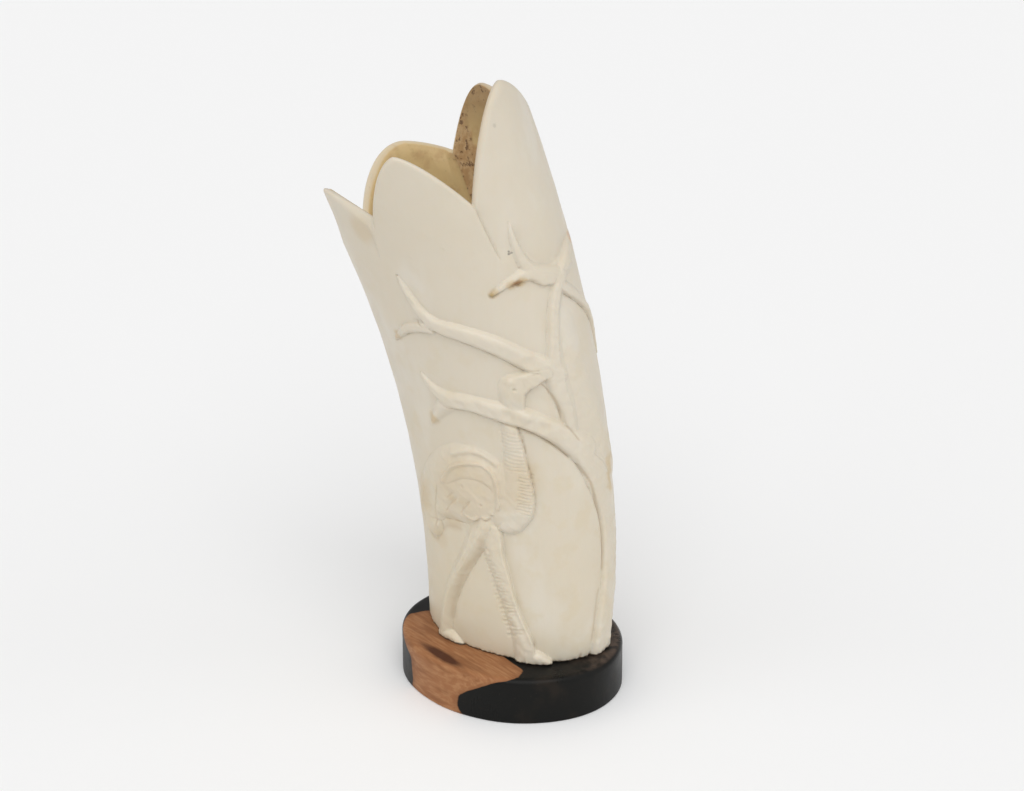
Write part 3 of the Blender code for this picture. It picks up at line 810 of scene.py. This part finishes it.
def carve_petal_laps(skin):
    """The front petal laps over its neighbours, which drop away behind its edge below the notches."""
    skin.step(((20.6, 239.5), (20.6, 231), (21.2, 221), (22.4, 213)), drop=1, fade=10)
    skin.groove(((20.8, 239.5), (20.9, 231), (21.5, 221), (22.6, 213)), width=0.7, depth=0.35)
    skin.step(((-33.6, 209), (-32.2, 217), (-31.6, 225)), drop=0.9, fade=8)
    skin.ridge(((52.5, 279), (46.5, 268), (43.5, 255)), width=6, high=-0.25)


def carved_skin(across, up):
    """How far the carved skin stands outside the plain oval, in millimetres, and the grime and painted shade
    in its cuts.
    """
    skin = Carving(across, up)
    for carve in (carve_petal_laps, carve_trunk, carve_crown, carve_high_bough, carve_leading_leg,
                  carve_body, carve_wing_and_tail, carve_neck_and_head, carve_low_bough):
        carve(skin)
    standing = np.clip(skin.height / 1.2, 0.12, 1.0)
    knife = wander(across, up, 9.0) + 0.6 * wander(up + 40.0, across, 5.2)
    scraping = wander(across, up, 34.0)
    chips = clamped(1.0 - (up - FOOT) / CHIPPED_FOOT) * (0.35 + 0.3 * wander(across, up, 4.3))
    depth = np.interp(up, *zip(*GROUND))
    ground = -depth * np.exp(-((across - GROUND_MIDDLE) / GROUND_REACH)**2)
    height = ground + skin.height + KNIFE_MARKS * knife * standing + SCRAPING * scraping - chips
    return height, clamped(skin.grime_and_shade)


def column_angles():
    """Angles of the mesh's columns: close together on the carved front, with one on each notch."""
    turn = np.linspace(-math.pi, math.pi, 721)
    length = unrolled(turn, FOOT + TUSK_SPAN / 2)
    girth = length[-1] - length[0]
    first, last = FRONT_SPAN
    front = np.arange(first, last, FRONT_PITCH)
    back_count = int((girth - (last - first)) / BACK_PITCH)
    back = np.linspace(last, first + girth, back_count, endpoint=False)
    back = np.where(back > length[-1], back - girth, back)
    angles = np.sort(np.interp(np.concatenate((front, back)), length, turn))
    for notch_angle, _ in NOTCHES:
        notch = math.radians((notch_angle + 180.0) % 360.0 - 180.0)
        angles[np.argmin(np.abs(angles - notch))] = notch
    return angles


def inside_crust(degrees, level):
    """Where the hollow's wall keeps its rough brown crust: all of the back petal but one smooth lobe."""
    first, last = CRUST_SPAN
    crust = clamped((degrees - first) / 6.0) * clamped((last - degrees) / 1.2)
    lobe_edge = LOBE_EDGE + 1.2 * np.sin(level * 0.9)
    lobe = clamped((lobe_edge - degrees) / 1.5) * clamped((LOBE_TOP - level) / 3.0)
    return crust * (1.0 - lobe) * clamped((level - CRUST_FOOT) / 15.0)


def inside_relief(degrees, level):
    """How far the hollow's wall stands in: the back notch's crease, the lobe's thin ridge and the crust."""
    upper = clamped((level - CREASE_FOOT) / 12.0)
    crease = -0.9 * np.exp(-((degrees - CREASE) / 1.6)**2) * upper
    ridge = 0.5 * np.exp(-(degrees - LOBE_RIDGE[0])**2) * np.exp(-((level - LOBE_RIDGE[1]) / 5.0)**2)
    crusted = inside_crust(degrees, level) * (0.25 + 0.22 * wander(degrees * 0.8, level, 5.0))
    return crease + ridge + crusted


def bevel_drops(angles, rim):
    """How far the rim's outer and inner edges are taken down all round, more where the rim is steep."""
    slope = np.abs(np.gradient(rim, unrolled(angles, rim)))
    steepest = np.maximum(slope, np.maximum(np.roll(slope, 1), np.roll(slope, -1)))
    steepness = np.minimum(np.hypot(1.0, steepest), STEEPEST_RIM)
    bevel_angles, *drops = zip(*BEVELS)
    return [np.interp(np.degrees(angles), bevel_angles, drop, period=360.0) * steepness for drop in drops]


def build_tusk():
    """One closed skin over the whole tusk: up the outside, over the rim and down the inside. Each ring is its
    points, the grime and painted shade in its cuts, how far it is coloured as the inside is, and how crusted
    it is."""
    angles = column_angles()
    degrees = np.degrees(angles)
    rim = rim_height(degrees)
    outer_drop, inner_drop = bevel_drops(angles, rim)
    shoulder = rim - outer_drop
    brink = rim - inner_drop
    zeros = np.zeros_like(angles)

    levels = [np.full_like(angles, z) for z in np.arange(FOOT, STRAIGHT_TOP, ROW_PITCH)]
    petal_rows = int((max(rim) - STRAIGHT_TOP) / ROW_PITCH)
    for share in np.linspace(0.0, 1.0, petal_rows):
        levels.append(STRAIGHT_TOP + (shoulder - STRAIGHT_TOP) * share)
    up = np.array(levels)
    turned = np.broadcast_to(angles, up.shape)
    relief, grime_and_shade = carved_skin(unrolled(turned, up), up)
    rings = [(row, cuts, zeros, zeros) for row, cuts in zip(skin_point(turned, up, -relief), grime_and_shade)]

    tan = np.interp(degrees, *zip(*RIM_TAN), period=360.0)
    facet = np.interp(outer_drop, BEVEL_DROPS, (0.0, 1.0))
    lip = RIM_WALL * (NARROW_BEVEL + (WIDE_BEVEL - NARROW_BEVEL) * facet)
    for share in OUTER_BEVEL_STEPS:
        inward = lip * share**1.3 - relief[-1] * (1.0 - share)
        rise = math.sin(share * math.pi / 2) * (1.0 - facet) + share * facet
        row = skin_point(angles, shoulder + outer_drop * rise, inward)
        rings.append((row, zeros, tan * 0.6 * share, zeros))
    for share in INNER_BEVEL_STEPS:
        inward = lip + (RIM_WALL - lip) * math.sin(share * math.pi / 2)
        row = skin_point(angles, rim - inner_drop * share**1.5, inward)
        rings.append((row, zeros, tan * (0.6 + 0.5 * share), zeros))

    around = degrees % 360.0
    for share in np.linspace(0.0, 1.0, INSIDE_ROWS)**INSIDE_CROWDING:
        level = brink + (FOOT - brink) * share
        row = skin_point(angles, level, wall_thickness(level) + inside_relief(around, level))
        frayed = clamped(1.0 - (brink - level) / FRAY_DEPTH) * np.interp(around, *zip(*FRAYED))
        rings.append((row, zeros, zeros + 1.0, np.maximum(inside_crust(around, level), frayed)))

    rows, *marks = zip(*rings)
    mesh = closed_skin("carved_tusk", [row * MM for row in rows])
    for name, values in zip(("grime_and_shade", "inside", "crust"), marks):
        layer = mesh.attributes.new(name, "FLOAT", "POINT")
        layer.data.foreach_set("value", np.concatenate(values).astype(np.float32))
    return mesh


def thinned(piece, triangles):
    """Collapses the piece's flattest edges until that many triangles are left."""
    piece.data.calc_loop_triangles()
    modifier = piece.modifiers.new("thin_out", "DECIMATE")
    modifier.ratio = triangles / len(piece.data.loop_triangles)
    graph = bpy.context.evaluated_depsgraph_get()
    mesh = bpy.data.meshes.new_from_object(piece.evaluated_get(graph))
    piece.modifiers.clear()
    full = piece.data
    piece.data = mesh
    mesh.name = full.name
    bpy.data.meshes.remove(full)


IVORY = (0.632, 0.571, 0.467)
IVORY_PALE = (0.677, 0.635, 0.554)
IVORY_WARM = (0.616, 0.541, 0.411)
IVORY_YELLOW = (0.60, 0.51, 0.35)
CUT_GRIME_AND_SHADE = (0.40, 0.29, 0.17)
INNER_TAN = (0.59, 0.44, 0.215)
INNER_BROWN = (0.45, 0.28, 0.13)
INNER_SMOKED = (0.37, 0.245, 0.115)
CRUST_TAN = (0.56, 0.385, 0.205)
CRUST_DARK = (0.12, 0.062, 0.03)
# Painted shade: a dark, ragged band along the foot of the tusk, where it stands on the base.
JOINT_SHADE_BROWN = (0.06, 0.035, 0.02)
JOINT_SHADE_TOP = FOOT * MM + 0.0009
JOINT_SHADE_WAVE = 0.0009
JOINT_SHADE_BLUR = 0.0003

# Stains, and two spots of painted shade under the ostrich's belly and tail: (round the skin, up, out from
# it), reach in millimetres, raggedness, strength and colour.
BROWN = (0.22, 0.10, 0.03)
GOLD = (0.50, 0.34, 0.13)
OLIVE = (0.34, 0.24, 0.09)
TAN = (0.52, 0.38, 0.20)
ORANGE = (0.55, 0.27, 0.10)
GREY = (0.22, 0.20, 0.17)
STAINS_AND_SHADE_SPOTS = (
    ((27.2, 204.2, 1), 3.6, 0.5, 0.6, GOLD),
    ((22.6, 203.2, 1), 3.4, 0.5, 0.5, GOLD),
    ((23.4, 203.4, 1), 2.2, 0.5, 0.7, BROWN),
    ((25.4, 203.8, 1), 2.6, 0.5, 0.9, BROWN),
    ((14.2, 199.6, 0.6), 3.2, 0.5, 0.5, GOLD),
    ((12.9, 198.6, 0.6), 2.2, 0.5, 0.75, OLIVE),
    ((26.6, 216.6, 0), 0.9, 0.9, 0.9, GREY),
    ((26.9, 217.6, 0), 0.8, 0.9, 0.9, GREY),
    ((27.8, 217, 0), 0.8, 0.9, 0.8, GREY),
    ((45.8, 270, 0), 1.3, 0.8, 0.25, GREY),
    ((51, 114.5, 1.5), 4.6, 1.2, 0.36, GOLD),
    ((49.4, 109, 1.5), 4.8, 1.3, 0.45, GOLD),
    ((48.4, 103.5, 1.5), 3.8, 1.2, 0.38, GOLD),
    ((67.5, 213.2, 0.6), 3.6, 1.4, 0.55, ORANGE),
    ((-33.5, 134.5, 0.8), 4.4, 0.6, 0.65, TAN),
    ((-42, 171.5, 0.8), 3.8, 0.6, 0.6, TAN),
    # Painted shade under the ostrich's belly and under its tail.
    ((-34, 84.5, 0.5), 7.5, 0.4, 0.3, TAN),
    ((-44.5, 72, 0), 7, 0.4, 0.25, TAN),
    ((-20, 104, 2), 24, 0.3, 0.3, TAN),
    ((3, 112, 2), 16, 0.3, 0.26, TAN),
    ((-30, 97, 2.5), 3.6, 0.6, 0.4, TAN),
    ((-52, 92, 1), 11, 0.6, 0.4, TAN),
    ((-37, 221, 0), 9, 0.4, 0.3, TAN),
)


def ivory():
    """Polished ivory, warmer low down, stained in places, yellow-brown inside the hollow; grime and painted
    shade darken its cuts, and painted shade darkens its foot along the base and the ground under the
    ostrich's belly and tail.
    """
    settings = {"Specular IOR Level": 0.4, "Subsurface Weight": 0.15, "Subsurface Radius": (1.0, 0.6, 0.35),
                "Subsurface Scale": 0.002}
    material, tree, shader = new_material("old_ivory", settings)
    place = add(tree, "ShaderNodeTexCoord").outputs["Object"]
    parts = add(tree, "ShaderNodeSeparateXYZ", {0: place}).outputs
    grime_and_shade = add(tree, "ShaderNodeAttribute", attribute_name="grime_and_shade").outputs["Fac"]
    inside = add(tree, "ShaderNodeAttribute", attribute_name="inside").outputs["Fac"]
    crust = add(tree, "ShaderNodeAttribute", attribute_name="crust").outputs["Fac"]

    cloud = noise(place, 16.0, 3.0)
    streaks = noise(place_vector(place, 0.0, (1.0, 1.0, 0.07)), 420.0, 4.0, 0.6)
    low_down = spread(parts["Z"], 0.150, 0.035)
    to_the_left = spread(parts["X"], 0.020, -0.036)
    warmth = plus(times(low_down, 0.55), spread(cloud, 0.40, 0.75, 0.0, 0.45))
    colour = blend(warmth, IVORY, IVORY_WARM)
    clouds = noise(place_vector(place, 0.0, (1.0, 1.0, 0.5)), 38.0, 3.0, 0.55)
    colour = laid(colour, IVORY_PALE, clouds, 0.50, 0.68, 0.45)
    yellowing = times(times(low_down, to_the_left), 0.40)
    colour = blend(yellowing, colour, IVORY_YELLOW)
    mottles = spread(noise(place, 85.0, 3.0, 0.6), 0.50, 0.66, 0.0, 0.35)
    handled = spread(parts["Z"], 0.230, 0.090, 0.3, 1.0)
    colour = blend(times(mottles, handled), colour, IVORY_YELLOW)
    colour = laid(colour, IVORY_WARM, streaks, 0.48, 0.72, 0.16)
    # Stains, and spots of painted shade under the belly and the tail.
    for spot_place, reach, raggedness, strength, tint in STAINS_AND_SHADE_SPOTS:
        middle = skin_place(*spot_place)
        stain_and_shade_spot = placed(ragged_spot, place, Middle=middle, Reach=reach * MM, Raggedness=raggedness)
        colour = blend(times(stain_and_shade_spot["Mask"], strength), colour, tint)
    # Grime and painted shade in the carved cuts, stronger where they are deeper.
    colour = laid(colour, CUT_GRIME_AND_SHADE, grime_and_shade, 0.1, 1.0, 0.5)
    # Painted shade along the foot where the tusk meets the base, its top edge ragged.
    joint_shade_edge = plus(parts["Z"], times(noise(place, 900.0, 2.0), JOINT_SHADE_WAVE))
    colour = laid(colour, JOINT_SHADE_BROWN, joint_shade_edge, JOINT_SHADE_TOP + JOINT_SHADE_BLUR, JOINT_SHADE_TOP, 0.85)

    tan = laid(INNER_TAN, INNER_BROWN, noise(place, 120.0, 4.0, 0.6), 0.50, 0.68, 0.55)
    smoke = spread(parts["Z"], 0.234, 0.258, 0.0, 0.75)
    tan = blend(smoke, tan, INNER_SMOKED)
    specks = noise(place, 430.0, 3.0, 0.65)
    tan = laid(tan, CRUST_DARK, specks, 0.66, 0.72, 0.6)
    crusted = laid(CRUST_TAN, INNER_BROWN, noise(place, 260.0, 4.0, 0.7), 0.40, 0.60)
    crusted = blend(smoke, crusted, INNER_SMOKED)
    crusted = laid(crusted, CRUST_DARK, specks, 0.55, 0.64, 0.8)
    hollow_wall = blend(crust, tan, crusted)
    colour = blend(inside, colour, hollow_wall)

    rubbed = placed(rubbed_polish, place, Glossiest=0.36, Dullest=0.50)
    roughness = plus(rubbed["Roughness"], times(inside, 0.2))
    pitting = times(specks, times(crust, 4.0))
    relief = plus(plus(rubbed["Height"], times(streaks, 0.8)), pitting)
    dress(shader, colour, roughness, relief, strength=0.10, depth=0.0003)
    return material


tusk = new_piece(build_tusk())
thinned(tusk, SKIN_TRIANGLES)
tusk.data.materials.append(ivory())
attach(tusk, "root")
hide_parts("ivory_tusk")


# ------------------------------------------------------------------------------
# Studio. A white table under one big soft light overhead and a weaker one on each side, with the camera a
# little above the object.

CAMERA_PITCH = math.radians(23.0)
CAMERA_DISTANCE = 1.05
AIM_HEIGHT = 0.13621
FLOOR_SPAN = 14.0

table = bpy.data.meshes.new("table")
half = FLOOR_SPAN / 2
corners = [(-half, -half, 0), (half, -half, 0), (half, half, 0), (-half, half, 0)]
table.from_pydata(corners, [], [(0, 1, 2, 3)])
matt_white = {"Base Color": (0.91, 0.91, 0.91, 1.0), "Roughness": 0.9, "Specular IOR Level": 0.0}
table.materials.append(new_material("white_table", matt_white)[0])
floor = new_piece(table)

world = bpy.data.worlds.new("studio")
world.use_nodes = True
background = world.node_tree.nodes["Background"].inputs
background["Color"].default_value = (1.0, 1.0, 1.0, 1.0)
background["Strength"].default_value = 0.50
bpy.context.scene.world = world
bpy.context.scene.view_settings.view_transform = "Standard"

# Lights so far off that they are even over the whole table: the way to each, degrees wide, strength.
LIGHTS = (("overhead", (0.05, -0.85, 1.0), 50.0, 1.47), ("left_fill", (-1.0, -0.5, 0.6), 60.0, 0.48),
          ("right_fill", (1.0, -0.4, 0.5), 60.0, 0.52))
for name, direction, width, strength in LIGHTS:
    lamp = bpy.data.lights.new(name, "SUN")
    lamp.angle = math.radians(width)
    lamp.energy = strength
    light = new_piece(lamp)
    light.rotation_euler = (-Vector(direction)).to_track_quat("-Z", "Y").to_euler()

camera = bpy.data.cameras.new("camera")
camera.lens = 85.0
viewer = new_piece(camera)
viewer.location = (0.0, -CAMERA_DISTANCE * math.cos(CAMERA_PITCH),
                   AIM_HEIGHT + CAMERA_DISTANCE * math.sin(CAMERA_PITCH))
viewer.rotation_euler = (math.pi / 2 - CAMERA_PITCH, 0.0, 0.0)
bpy.context.scene.camera = viewer
